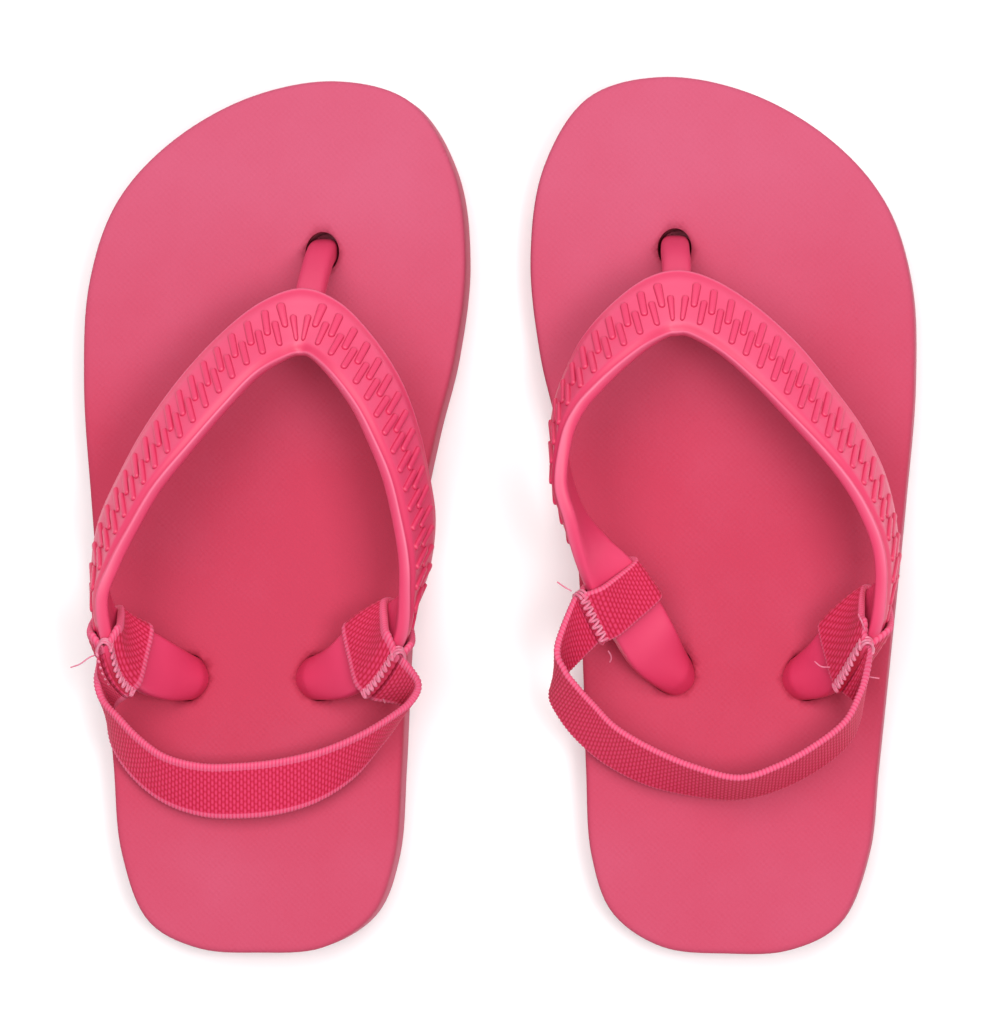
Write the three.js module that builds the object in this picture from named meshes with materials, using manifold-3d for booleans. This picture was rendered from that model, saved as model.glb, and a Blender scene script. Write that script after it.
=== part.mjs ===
// A pair of toddler flip flops with elastic heel bands, in millimetres, +Z up, toes towards +Y.
// Each shoe is a two-layer foam sole, a moulded V strap whose plugs are pulled through the sole,
// and an elastic webbing band whose ends are looped round the strap's arms and sewn.
// Both shoes are drawn as a left shoe, outer side towards -X. The right one is then mirrored.

import * as THREE from 'three';
import { mergeVertices } from 'three/addons/utils/BufferGeometryUtils.js';
import Module from 'manifold-3d';

const wasm = await Module();
wasm.setup();

// Driving dimensions
const CLEARANCE = 0.3; // between pieces that touch
const OUTSOLE_TOP = 8.7;
const FOOTBED_BOTTOM = OUTSOLE_TOP + CLEARANCE;
const FOOTBED_TOP = 12;
const PLUG_BOTTOM = 0.5; // the plugs stay clear of the ground
const PLUG_TOP = 2.3;
const STRAP_THICKNESS = 3;
const STRAP_BEVEL = 0.7;
const WEBBING_WIDTH = 11.4;
const WEBBING_THICKNESS = 1.2;
const WEBBING_BEVEL = 0.3;
const STITCH_BAR = { width: 1.2, thickness: 2.2, bevel: 0.3 };
const TOE_POST = { width: 5.2, depth: 4.8 };
const TOE_HOLE = { x: 8.8, y: 48.4, width: 6.2, length: 7.8 };
const TOE_PLUG_RADIUS = 7;
const SIDE_PLUG = { length: 15, width: 9 };
const TREAD = { pitch: 9, width: 1.6, depth: 1, first: -66, count: 15, chevron: 5 };
const LEFT_PLACE = { x: -41.4, y: 0, turn: 0 };
const RIGHT_PLACE = { x: 39.6, y: 0.2, turn: THREE.MathUtils.degToRad(-1) };

// Sole outline, anticlockwise from the heel: x outwards is negative, y towards the toes
const SOLE_OUTLINE = [
  [-3, -79.2], [9, -78.2], [18, -72.3], [22, -62], [23.3, -46], [24.2, -27], [26, -3],
  [29.5, 15], [33, 29], [35, 46.5], [32.8, 63], [25, 75.5], [12, 79.4], [-4, 76.8],
  [-19, 68.5], [-29, 57.5], [-34, 43], [-35, 24.5], [-33.6, 3], [-31.5, -22], [-29.5, -45],
  [-28, -61], [-23, -73.6], [-14, -78.4],
];

// Stations of a strap arm from its plug up to the apex: the front edge, then the rear edge,
// each x, y and height above the footbed. The front edge is the outer line of the V.
const NECK_LOW = FOOTBED_TOP - PLUG_TOP + 0.8;
const NECK_HIGH = 3.5;
const LEFT_OUTER_ARM = [
  [-14.6, -25.5, -NECK_LOW, -15.7, -33.3, -NECK_LOW],
  [-14.6, -25.5, -NECK_HIGH, -15.7, -33.3, -NECK_HIGH],
  [-17.2, -23.5, 4.3, -19.4, -33.2, 4.8],
  [-20.8, -21.1, 9, -23, -31.6, 11],
  [-24.6, -19, 12, -26.4, -27.9, 16.6],
  [-27.8, -17.4, 13.4, -27.8, -22.4, 22.1],
  [-29.6, -13.4, 13.8, -28.2, -14.9, 25.2],
  [-30.4, -8.3, 15, -25.6, -8.5, 26],
  [-29, -0.7, 16.5, -22.3, -2.5, 26.4],
  [-25.1, 7.7, 17.6, -17.8, 4.9, 26.7],
  [-20.2, 16.4, 18.6, -11.9, 12, 26.2],
  [-13.8, 25.2, 18.6, -5.9, 19, 25.2],
  [-6.9, 32.7, 17.6, -0.1, 25.1, 24],
  [-0.1, 38.2, 16.8, 5, 28.3, 21.2],
];
const LEFT_APEX = [7.2, 40.7, 16.3, 7.2, 29, 18.8];
const LEFT_INNER_ARM = [
  [6.6, -25.5, -NECK_LOW, 7.2, -33.3, -NECK_LOW],
  [6.6, -25.5, -NECK_HIGH, 7.2, -33.3, -NECK_HIGH],
  [11, -23.6, 4, 13.2, -33, 4.6],
  [14.6, -20.6, 7.2, 17.4, -31.2, 9.6],
  [19, -17.6, 10, 21.8, -27.3, 14.6],
  [24.2, -15.4, 11.8, 25.8, -21.6, 20],
  [28, -11.8, 12.4, 26.6, -12.8, 23.7],
  [29.7, -6.6, 13.4, 26.4, -7, 24.9],
  [30.4, 0.4, 14.8, 25.1, 0, 25.5],
  [29.3, 8.3, 16, 23.4, 6.9, 26.3],
  [27.7, 15.9, 16.8, 20.7, 13.2, 26.1],
  [24.9, 23.8, 17.3, 17.5, 19.3, 25.3],
  [20.3, 31.2, 16.8, 13.2, 24.9, 23.8],
  [14.1, 37.9, 16.3, 9.3, 28.4, 21.3],
];
const RIGHT_OUTER_ARM = [
  [-14.4, -25.6, -NECK_LOW, -15.7, -33.3, -NECK_LOW],
  [-14.4, -25.6, -NECK_HIGH, -15.7, -33.3, -NECK_HIGH],
  [-18, -22.5, 4, -21, -32.1, 4.6],
  [-21.5, -18.3, 8.2, -24.4, -28.6, 10.6],
  [-25.2, -15.4, 11.2, -27.2, -24.8, 16],
  [-28.9, -13.2, 12.6, -30, -20.2, 21.6],
  [-31.8, -10, 13.4, -30.9, -11.8, 24.9],
  [-32.4, -5, 14.7, -30.2, -5.3, 26.4],
  [-31.6, 1.9, 16.1, -27.6, 0.9, 27.4],
  [-29.6, 8.8, 17.3, -24.1, 6.3, 27.7],
  [-25.9, 15.9, 18, -19.5, 11.6, 27.2],
  [-20.8, 22.8, 18.1, -14.2, 17, 26.1],
  [-14.7, 30.2, 17.7, -8, 23, 24.1],
  [-7.3, 36.8, 16.7, -1.5, 28.5, 22.2],
  [0.2, 41.5, 15.8, 4.2, 31.7, 20.6],
];
const RIGHT_APEX = [6.6, 43.3, 15.8, 6.9, 31.9, 19.3];
const RIGHT_INNER_ARM = [
  [5.9, -25.8, -NECK_LOW, 7.8, -33.3, -NECK_LOW],
  [5.9, -25.8, -NECK_HIGH, 7.8, -33.3, -NECK_HIGH],
  [7.2, -21, 4, 14, -28.6, 5],
  [10, -15.8, 7, 17.6, -23, 9.6],
  [15, -8.6, 11.4, 22, -14, 16.4],
  [19.6, -5, 12.6, 23.9, -8.2, 20.4],
  [24, -0.6, 12.6, 25.4, -1.4, 23.9],
  [26.6, 5.4, 13.4, 27, 5, 25.4],
  [28.4, 13.7, 14.4, 25.8, 13.4, 26.1],
  [28.1, 19.7, 15.3, 23.5, 18.3, 26.3],
  [26.2, 25.4, 16, 20.4, 21.9, 26],
  [23.2, 31.4, 16.7, 16.5, 25.7, 24.8],
  [18.3, 37.2, 16.7, 12.2, 29.3, 23],
  [12.5, 41.8, 16.4, 8.6, 31.5, 20.7],
];

// Loops cover the arms between these stations
const LOOPS = {
  left: { lateral: [3.05, 4.9], medial: [3.1, 4.7] },
  right: { lateral: [3.05, 4.9], medial: [3.05, 4] },
};

// Stations of a heel band from the outer side to the inner side: upper edge, then lower edge
const LEFT_BAND = [
  [-31.2, -27.2, 19, -28.4, -35, 9.4],
  [-31.4, -31.4, 15.8, -30, -37, 5.4],
  [-27.5, -36.5, 12.6, -29.2, -42.5, 2.6],
  [-20.6, -41.8, 10.4, -23.6, -49.6, 2],
  [-11, -44.5, 9, -12.4, -54.6, 2.4],
  [2, -43.7, 8.6, 1.6, -54.1, 3],
  [14, -40.2, 9.8, 12, -49.8, 2.3],
  [24, -35.6, 13.4, 21.2, -40.6, 3.2],
  [28.6, -32, 16.4, 25.6, -35, 6],
  [29.2, -27.4, 18.4, 26, -31.8, 8.6],
];
const RIGHT_BAND = [
  [-33.2, -24.8, 20.4, -30.2, -31.4, 10.6],
  [-31, -31.6, 17.6, -28.9, -36.4, 7],
  [-25.6, -37.4, 15.4, -25.2, -42.6, 4.6],
  [-17, -44, 14, -17, -47, 2.9],
  [-7, -47.5, 13.8, -6.4, -51, 2.8],
  [3, -44.4, 12.6, 4.4, -50.3, 2.8],
  [13, -40.6, 12, 17, -47.2, 3],
  [20.8, -34.4, 13.4, 26.4, -40, 4],
  [26.4, -27.6, 15.6, 30.2, -34.4, 5.4],
  [28.2, -21.6, 18.2, 28.4, -29.4, 7.4],
];

// Toe post stations from the plug up to the strap: x, y and height above the footbed
const LEFT_POST = [
  [8.8, 48, -NECK_LOW], [8.8, 48, -3], [8.7, 46.4, 3], [8.4, 42.8, 9.5], [8.1, 38.6, 16],
];
const RIGHT_POST = [
  [8.8, 48.4, -NECK_LOW], [8.8, 48.4, -3], [8.4, 47.4, 3], [7.7, 44.8, 9.5], [7.2, 41, 16],
];

const SHOES = {
  left: {
    outerArm: LEFT_OUTER_ARM, apex: LEFT_APEX, innerArm: LEFT_INNER_ARM,
    band: LEFT_BAND, post: LEFT_POST, loops: LOOPS.left, place: LEFT_PLACE,
  },
  right: {
    outerArm: RIGHT_OUTER_ARM, apex: RIGHT_APEX, innerArm: RIGHT_INNER_ARM,
    band: RIGHT_BAND, post: RIGHT_POST, loops: LOOPS.right, place: RIGHT_PLACE,
  },
};

const MATERIALS = {
  footbed: new THREE.MeshStandardMaterial({ color: 0xe2617f, roughness: 0.85 }),
  outsole: new THREE.MeshStandardMaterial({ color: 0xd95a7a, roughness: 0.8 }),
  strap: new THREE.MeshStandardMaterial({ color: 0xee4f7d, roughness: 0.4 }),
  webbing: new THREE.MeshStandardMaterial({ color: 0xde3a68, roughness: 0.9 }),
  thread: new THREE.MeshStandardMaterial({ color: 0xe8557d, roughness: 0.8 }),
};

// Meshes and solids

function meshOf(vertices, triangles) {
  const geometry = new THREE.BufferGeometry();
  const flat = vertices.flatMap((v) => [v.x, v.y, v.z]);
  geometry.setAttribute('position', new THREE.Float32BufferAttribute(flat, 3));
  geometry.setIndex(signedVolume(vertices, triangles) < 0 ? flipped(triangles) : triangles);
  return geometry;
}

function signedVolume(vertices, triangles) {
  let volume = 0;
  for (let i = 0; i < triangles.length; i += 3) {
    const [a, b, c] = [0, 1, 2].map((k) => vertices[triangles[i + k]]);
    volume += a.dot(b.clone().cross(c)) / 6;
  }
  return volume;
}

function flipped(triangles) {
  const out = [];
  for (let i = 0; i < triangles.length; i += 3) {
    out.push(triangles[i], triangles[i + 2], triangles[i + 1]);
  }
  return out;
}

function solid(geometry) {
  const bare = geometry.clone();
  bare.deleteAttribute('normal');
  bare.deleteAttribute('uv');
  const merged = mergeVertices(bare, 1e-4);
  return new wasm.Manifold(new wasm.Mesh({
    numProp: 3,
    vertProperties: new Float32Array(merged.attributes.position.array),
    triVerts: new Uint32Array(merged.index.array),
  }));
}

function geometryOf(manifold) {
  const mesh = manifold.getMesh();
  const geometry = new THREE.BufferGeometry();
  geometry.setAttribute('position', new THREE.BufferAttribute(mesh.vertProperties, 3));
  geometry.setIndex(new THREE.BufferAttribute(mesh.triVerts, 1));
  return geometry;
}

// Joins a row of rings, each a closed list of points, into triangles between them
function skin(triangles, rings, points, first) {
  for (let r = 0; r + 1 < rings; r += 1) {
    for (let p = 0; p < points; p += 1) {
      const a = first + r * points + p;
      const b = first + r * points + ((p + 1) % points);
      triangles.push(a, b, b + points, a, b + points, a + points);
    }
  }
}

function loft(rings) {
  const points = rings[0].length;
  const vertices = rings.flat();
  const triangles = [];
  skin(triangles, rings.length, points, 0);
  const last = (rings.length - 1) * points;
  for (let p = 1; p + 1 < points; p += 1) {
    triangles.push(0, p + 1, p, last, last + p, last + p + 1);
  }
  return meshOf(vertices, triangles);
}

// A sleeve: an outer and an inner loft joined by a flat end at each opening
function sleeve(outer, inner) {
  const points = outer[0].length;
  const vertices = [...outer.flat(), ...inner.flat()];
  const triangles = [];
  const innerSide = [];
  skin(triangles, outer.length, points, 0);
  skin(innerSide, inner.length, points, outer.length * points);
  triangles.push(...flipped(innerSide));
  const shift = outer.length * points;
  const last = (outer.length - 1) * points;
  for (let p = 0; p < points; p += 1) {
    const q = (p + 1) % points;
    triangles.push(p, shift + p, shift + q, p, shift + q, q);
    triangles.push(last + p, last + q, last + shift + q, last + p, last + shift + q, last + shift + p);
  }
  return meshOf(vertices, triangles);
}

// Ribbons between two edge lines

function edges(stations) {
  const front = stations.map((s) => new THREE.Vector3(s[0], s[1], s[2] + FOOTBED_TOP));
  const rear = stations.map((s) => new THREE.Vector3(s[3], s[4], s[5] + FOOTBED_TOP));
  return {
    front: new THREE.CatmullRomCurve3(front, false, 'catmullrom', 0.5),
    rear: new THREE.CatmullRomCurve3(rear, false, 'catmullrom', 0.5),
    last: stations.length - 1,
  };
}

function middle(ribbon, station) {
  const t = THREE.MathUtils.clamp(station / ribbon.last, 0, 1);
  return ribbon.front.getPoint(t).add(ribbon.rear.getPoint(t)).multiplyScalar(0.5);
}

// Local axes at a station: along the ribbon's width, and out of its face
function frameAt(ribbon, station) {
  const t = station / ribbon.last;
  const front = ribbon.front.getPoint(t);
  const rear = ribbon.rear.getPoint(t);
  const across = rear.clone().sub(front);
  const width = across.length();
  across.normalize();
  const along = middle(ribbon, station + 0.02).sub(middle(ribbon, station - 0.02));
  const out = along.cross(across).normalize();
  return { centre: front.add(rear).multiplyScalar(0.5), across, out, width };
}

// A section whose four corners are cut back by a bevel
function bevelledSection(width, thickness, bevel) {
  const points = [];
  for (const [sx, sy] of [[1, 1], [-1, 1], [-1, -1], [1, -1]]) {
    const side = [sx * (width / 2), sy * (thickness / 2 - bevel)];
    const face = [sx * (width / 2 - bevel), sy * (thickness / 2)];
    points.push(...(sx * sy > 0 ? [side, face] : [face, side]));
  }
  return points;
}

function ring(frame, section, offset = 0) {
  return section.map(([x, y]) => frame.centre.clone()
    .addScaledVector(frame.across, x + offset)
    .addScaledVector(frame.out, y));
}

function ribbonRings(ribbon, from, to, steps, sectionAt, offsetAt = () => 0) {
  const rings = [];
  for (let k = 0; k <= steps; k += 1) {
    const frame = frameAt(ribbon, from + ((to - from) * k) / steps);
    rings.push(ring(frame, sectionAt(frame), offsetAt(frame)));
  }
  return rings;
}

// Sub-parts

function outlineShape() {
  const points = SOLE_OUTLINE.map(([x, y]) => new THREE.Vector3(x, y, 0));
  const curve = new THREE.CatmullRomCurve3(points, true, 'centripetal');
  const smooth = curve.getPoints(72).slice(0, -1);
  return new THREE.Shape(smooth.map((p) => new THREE.Vector2(p.x, p.y)));
}

function slab(shape, bottom, top) {
  const geometry = new THREE.ExtrudeGeometry(shape, { depth: top - bottom, bevelEnabled: false });
  return solid(geometry.translate(0, 0, bottom));
}

function ovalShape(x, y, width, length) {
  const shape = new THREE.Shape();
  shape.absellipse(x, y, width / 2, length / 2, 0, 2 * Math.PI);
  return shape;
}

function oval(x, y, width, length, bottom, top) {
  const geometry = new THREE.ExtrudeGeometry(ovalShape(x, y, width, length), {
    depth: top - bottom, bevelEnabled: false, curveSegments: 12,
  });
  return solid(geometry.translate(0, 0, bottom));
}

function postSolid(post, extra) {
  const points = post.map(([x, y, z]) => new THREE.Vector3(x, y, z + FOOTBED_TOP));
  const curve = new THREE.CatmullRomCurve3(points);
  const sides = 12;
  const rings = curve.getPoints(12).map((centre) => {
    const round = [];
    for (let k = 0; k < sides; k += 1) {
      const angle = (2 * Math.PI * k) / sides;
      const x = (TOE_POST.width / 2 + extra) * Math.cos(angle);
      const y = (TOE_POST.depth / 2 + extra) * Math.sin(angle);
      round.push(new THREE.Vector3(centre.x + x, centre.y + y, centre.z));
    }
    return round;
  });
  return solid(loft(rings));
}

function strapStations(shoe) {
  return [...shoe.outerArm, shoe.apex, ...shoe.innerArm.toReversed()];
}

function strapRibbon(shoe, extra) {
  const ribbon = edges(strapStations(shoe));
  const section = (frame) => bevelledSection(
    frame.width + 2 * extra, STRAP_THICKNESS + 2 * extra, STRAP_BEVEL);
  return solid(loft(ribbonRings(ribbon, 0, ribbon.last, ribbon.last * 3, section)));
}

function plugPlaces(shoe) {
  const centre = (s) => ({ x: (s[0] + s[3]) / 2, y: (s[1] + s[4]) / 2 });
  return {
    lateral: centre(shoe.outerArm[0]),
    medial: centre(shoe.innerArm[0]),
    toe: { x: shoe.post[0][0], y: shoe.post[0][1] },
  };
}

function plugs(shoe, extra, bottom, top) {
  const { lateral, medial, toe } = plugPlaces(shoe);
  const side = ({ x, y }) => oval(
    x, y, SIDE_PLUG.width + 2 * extra, SIDE_PLUG.length + 2 * extra, bottom, top);
  const toeSize = 2 * (TOE_PLUG_RADIUS + extra);
  return side(lateral).add(side(medial)).add(oval(toe.x, toe.y, toeSize, toeSize, bottom, top));
}

function thongStrap(shoe) {
  return strapRibbon(shoe, 0)
    .add(postSolid(shoe.post, 0))
    .add(plugs(shoe, 0, PLUG_BOTTOM, PLUG_TOP));
}

function strapClearance(shoe) {
  const { x, y, width, length } = TOE_HOLE;
  return strapRibbon(shoe, CLEARANCE + 0.05)
    .add(postSolid(shoe.post, CLEARANCE + 0.05))
    .add(oval(x, y, width, length, -1, FOOTBED_TOP + 1));
}

function treadGrooves() {
  let grooves = null;
  for (let k = 0; k < TREAD.count; k += 1) {
    const y = TREAD.first + k * TREAD.pitch;
    const shape = new THREE.Shape([
      new THREE.Vector2(-60, y - TREAD.width / 2),
      new THREE.Vector2(0, y + TREAD.chevron - TREAD.width / 2),
      new THREE.Vector2(60, y - TREAD.width / 2),
      new THREE.Vector2(60, y + TREAD.width / 2),
      new THREE.Vector2(0, y + TREAD.chevron + TREAD.width / 2),
      new THREE.Vector2(-60, y + TREAD.width / 2),
    ]);
    const groove = slab(shape, -1, TREAD.depth);
    grooves = grooves ? grooves.add(groove) : groove;
  }
  return grooves;
}

function outsole(shoe) {
  return slab(outlineShape(), 0, OUTSOLE_TOP)
    .subtract(treadGrooves())
    .subtract(strapClearance(shoe))
    .subtract(plugs(shoe, CLEARANCE, -1, PLUG_TOP + CLEARANCE));
}

function footbed(shoe) {
  return slab(outlineShape(), FOOTBED_BOTTOM, FOOTBED_TOP).subtract(strapClearance(shoe));
}

// Stations counted from the inner plug are turned into stations counted from the outer one
function loopSpan(shoe, side, ribbon) {
  const [from, to] = shoe.loops[side];
  return side === 'lateral' ? [from, to] : [ribbon.last - to, ribbon.last - from];
}

function heelLoop(shoe, side) {
  const ribbon = edges(strapStations(shoe));
  const [from, to] = loopSpan(shoe, side, ribbon);
  const grown = (extra) => (frame) => bevelledSection(
    frame.width + 2 * extra, STRAP_THICKNESS + 2 * extra, STRAP_BEVEL + extra);
  const outer = ribbonRings(ribbon, from, to, 6, grown(CLEARANCE + WEBBING_THICKNESS));
  const inner = ribbonRings(ribbon, from, to, 6, grown(CLEARANCE));
  return solid(sleeve(outer, inner));
}

// The bar of stitches lies along the rear of the loop, just outside the arm's rear edge
function stitching(shoe, side) {
  const ribbon = edges(strapStations(shoe));
  const [from, to] = loopSpan(shoe, side, ribbon);
  const { width, thickness, bevel } = STITCH_BAR;
  const gap = CLEARANCE + WEBBING_THICKNESS + CLEARANCE + width / 2;
  const section = () => bevelledSection(width, thickness, bevel);
  const offset = (frame) => frame.width / 2 + gap;
  return solid(loft(ribbonRings(ribbon, from + 0.05, to - 0.05, 6, section, offset)));
}

function heelBand(shoe) {
  const ribbon = edges(shoe.band);
  const section = () => bevelledSection(WEBBING_WIDTH, WEBBING_THICKNESS, WEBBING_BEVEL);
  return solid(loft(ribbonRings(ribbon, 0, ribbon.last, ribbon.last * 3, section)));
}

// Assembly

function mirrored(geometry) {
  const out = geometry.clone().scale(-1, 1, 1);
  out.setIndex(flipped(Array.from(geometry.index.array)));
  return out;
}

function shoeParts(shoe) {
  return {
    outsole: [outsole(shoe), MATERIALS.outsole],
    footbed: [footbed(shoe), MATERIALS.footbed],
    thong_strap: [thongStrap(shoe), MATERIALS.strap],
    heel_loop_lateral: [heelLoop(shoe, 'lateral'), MATERIALS.webbing],
    heel_loop_medial: [heelLoop(shoe, 'medial'), MATERIALS.webbing],
    heel_band: [heelBand(shoe), MATERIALS.webbing],
    stitching_lateral: [stitching(shoe, 'lateral'), MATERIALS.thread],
    stitching_medial: [stitching(shoe, 'medial'), MATERIALS.thread],
  };
}

function shoeGroup(foot) {
  const group = new THREE.Group();
  const shoe = SHOES[foot];
  for (const [name, [body, material]] of Object.entries(shoeParts(shoe))) {
    const geometry = geometryOf(body);
    const mesh = new THREE.Mesh(foot === 'right' ? mirrored(geometry) : geometry, material);
    mesh.name = `${foot}_${name}`;
    group.add(mesh);
  }
  group.position.set(shoe.place.x, shoe.place.y, 0);
  group.rotation.z = shoe.place.turn;
  return group;
}

const group = new THREE.Group();
group.add(shoeGroup('left'), shoeGroup('right'));

// The origin is the middle of the pair's box, on the ground
const box = new THREE.Box3().setFromObject(group, true);
const centre = box.getCenter(new THREE.Vector3());
group.position.set(-centre.x, -centre.y, -box.min.z);

export default group;
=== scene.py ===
"""The looks of a pair of toddler flip flops with elastic heel bands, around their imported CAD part.

Shapes are worked out in each shoe's own millimetres, as a left shoe with its outer side towards -X,
its toes towards +Y and the ground at zero. The right shoe is then mirrored and turned into place.
"""

import math

import bmesh
import bpy
import numpy as np
from mathutils import Matrix, Vector
from mathutils.geometry import delaunay_2d_cdt


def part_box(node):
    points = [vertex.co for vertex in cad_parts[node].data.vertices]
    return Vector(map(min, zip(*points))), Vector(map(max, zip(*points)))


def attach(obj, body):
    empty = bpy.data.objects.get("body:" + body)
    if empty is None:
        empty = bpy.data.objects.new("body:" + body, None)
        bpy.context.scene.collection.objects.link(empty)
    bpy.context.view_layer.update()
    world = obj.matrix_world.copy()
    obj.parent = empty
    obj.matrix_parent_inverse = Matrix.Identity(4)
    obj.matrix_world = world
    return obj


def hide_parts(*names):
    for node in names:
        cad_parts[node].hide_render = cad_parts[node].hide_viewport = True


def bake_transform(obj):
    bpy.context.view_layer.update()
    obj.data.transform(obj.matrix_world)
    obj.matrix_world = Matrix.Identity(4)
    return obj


MM = 0.001

# Sole
FOOTBED_TOP = 12.0
LAYER_SEAM = 8.85  # height of the line between the two foam layers
SEAM_GAP = 0.04
OUTLINE_POINTS = 260
SOLE_OUTLINE = [
    (-3, -79.2), (9, -78.2), (18, -72.3), (22, -62), (23.3, -46), (24.2, -27), (26, -3),
    (29.5, 15), (33, 29), (35, 46.5), (32.8, 63), (25, 75.5), (12, 79.4), (-4, 76.8),
    (-19, 68.5), (-29, 57.5), (-34, 43), (-35, 24.5), (-33.6, 3), (-31.5, -22), (-29.5, -45),
    (-28, -61), (-23, -73.6), (-14, -78.4),
]
# How far a layer's wall stands in from the outline, and at which height
FOOTBED_WALL = [(0.4, LAYER_SEAM + SEAM_GAP), (0.08, 9.2), (0, 9.6), (0, 10.9), (0.1, 11.4),
                (0.35, 11.75), (0.75, 11.95), (1.3, FOOTBED_TOP)]
OUTSOLE_WALL = [(1.3, 0), (0.6, 0.15), (0.15, 0.6), (0, 1.3), (0, 8.2), (0.1, 8.6),
                (0.4, LAYER_SEAM - SEAM_GAP)]
TOP_GRID = 1.6  # spacing of the footbed's inner points
WELD_REACH = 0.02
TOE_HOLE = {"x": 8.8, "y": 48.3, "width": 6.2, "length": 7.4, "sides": 36}
SLOT_GAP = 0.06
SLOT_STATION = 1.3  # where the strap passes the footbed, in stations from its ends
# Round the strap's neck, in the strap's own axes: across it, and out of its barred face
SLOT_SECTION = [
    (-6, 0.2), (-5.8, -1.4), (-4.6, -2.65), (-2.4, -3.6), (0, -3.92), (2.4, -3.6), (4.6, -2.65),
    (5.8, -1.4), (6, 0.2), (5.6, 1.2), (4.2, 1.55), (0, 1.65), (-4.2, 1.55), (-5.6, 1.2),
]
SLOT_POINTS = 44
DIMPLE = {"depth": 0.7, "reach": 3.2}
TREAD = {"pitch": 9.0, "width": 1.6, "depth": 1.0, "first": -66.0, "count": 15, "chevron": 5.0}

# Strap: the places of its stations are the front edge and the rear edge, heights over the footbed
NECK_LOW = -10.5
NECK_HIGH = -3.5
LEFT_OUTER_ARM = [
    (-14.6, -25.5, NECK_LOW, -15.7, -33.3, NECK_LOW),
    (-14.6, -25.5, NECK_HIGH, -15.7, -33.3, NECK_HIGH),
    (-17.2, -23.5, 4.3, -19.4, -33.2, 4.8),
    (-20.8, -21.1, 9, -23, -31.6, 11),
    (-24.6, -19, 12, -26.4, -27.9, 16.6),
    (-27.8, -17.4, 13.4, -27.8, -22.4, 22.1),
    (-29.6, -13.4, 13.8, -28.2, -14.9, 25.2),
    (-30.4, -8.3, 15, -25.6, -8.5, 26),
    (-29, -0.7, 16.5, -22.3, -2.5, 26.4),
    (-25.1, 7.7, 17.6, -17.8, 4.9, 26.7),
    (-20.2, 16.4, 18.6, -11.9, 12, 26.2),
    (-13.8, 25.2, 18.6, -5.9, 19, 25.2),
    (-6.9, 32.7, 17.6, -0.1, 25.1, 24),
    (-0.1, 38.2, 16.8, 5, 28.3, 21.2),
]
LEFT_APEX = (7.2, 40.7, 16.3, 7.2, 28.9, 20.2)
LEFT_INNER_ARM = [
    (6.6, -25.5, NECK_LOW, 7.2, -33.3, NECK_LOW),
    (6.6, -25.5, NECK_HIGH, 7.2, -33.3, NECK_HIGH),
    (11, -23.6, 4, 13.2, -33, 4.6),
    (14.6, -20.6, 7.2, 17.4, -31.2, 9.6),
    (19, -17.6, 10, 21.8, -27.3, 14.6),
    (24.2, -15.4, 11.8, 25.8, -21.6, 20),
    (28, -11.8, 12.4, 26.6, -12.8, 23.7),
    (29.7, -6.6, 13.4, 26.4, -7, 24.9),
    (30.4, 0.4, 14.8, 25.1, 0, 25.5),
    (29.3, 8.3, 16, 23.4, 6.9, 26.3),
    (27.7, 15.9, 16.8, 20.7, 13.2, 26.1),
    (24.9, 23.8, 17.3, 17.5, 19.3, 25.3),
    (20.3, 31.2, 16.8, 13.2, 24.9, 23.8),
    (14.1, 37.9, 16.3, 9.3, 28.4, 21.3),
]
RIGHT_OUTER_ARM = [
    (-14.4, -25.6, NECK_LOW, -15.7, -33.3, NECK_LOW),
    (-14.4, -25.6, NECK_HIGH, -15.7, -33.3, NECK_HIGH),
    (-18, -22.5, 4, -21, -32.1, 4.6),
    (-21.5, -18.3, 8.2, -24.4, -28.6, 10.6),
    (-25.2, -15.4, 11.2, -27.2, -24.8, 16),
    (-28.9, -13.2, 12.6, -30, -20.2, 21.6),
    (-31.8, -10, 13.4, -30.9, -11.8, 24.9),
    (-32.4, -5, 14.7, -30.2, -5.3, 26.4),
    (-31.6, 1.9, 16.1, -27.6, 0.9, 27.4),
    (-29.6, 8.8, 17.3, -24.1, 6.3, 27.7),
    (-25.9, 15.9, 18, -19.5, 11.6, 27.2),
    (-20.8, 22.8, 18.1, -14.2, 17, 26.1),
    (-14.7, 30.2, 17.7, -8, 23, 24.1),
    (-7.3, 36.8, 16.7, -1.5, 28.5, 22.2),
    (0.2, 41.5, 15.8, 4.2, 31.7, 20.6),
]
RIGHT_APEX = (6.6, 43.3, 15.8, 6.9, 31.9, 20.2)
RIGHT_INNER_ARM = [
    (5.9, -25.8, NECK_LOW, 7.8, -33.3, NECK_LOW),
    (5.9, -25.8, NECK_HIGH, 7.8, -33.3, NECK_HIGH),
    (7.2, -21, 4, 14, -28.6, 5),
    (10, -15.8, 7, 17.6, -23, 9.6),
    (15, -8.6, 11.4, 22, -14, 16.4),
    (19.6, -5, 12.6, 23.9, -8.2, 20.4),
    (24, -0.6, 12.6, 25.4, -1.4, 23.9),
    (26.6, 5.4, 13.4, 27, 5, 25.4),
    (28.4, 13.7, 14.4, 25.8, 13.4, 26.1),
    (28.1, 19.7, 15.3, 23.5, 18.3, 26.3),
    (26.2, 25.4, 16, 20.4, 21.9, 26),
    (23.2, 31.4, 16.7, 16.5, 25.7, 24.8),
    (18.3, 37.2, 16.7, 12.2, 29.3, 23),
    (12.5, 41.8, 16.4, 8.6, 31.5, 20.7),
]
STRAP_WIDTH = 12.0
STRAP_STEP = 0.5
SECTION_POINTS = 84
SECTION_REACH = 6.05
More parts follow.
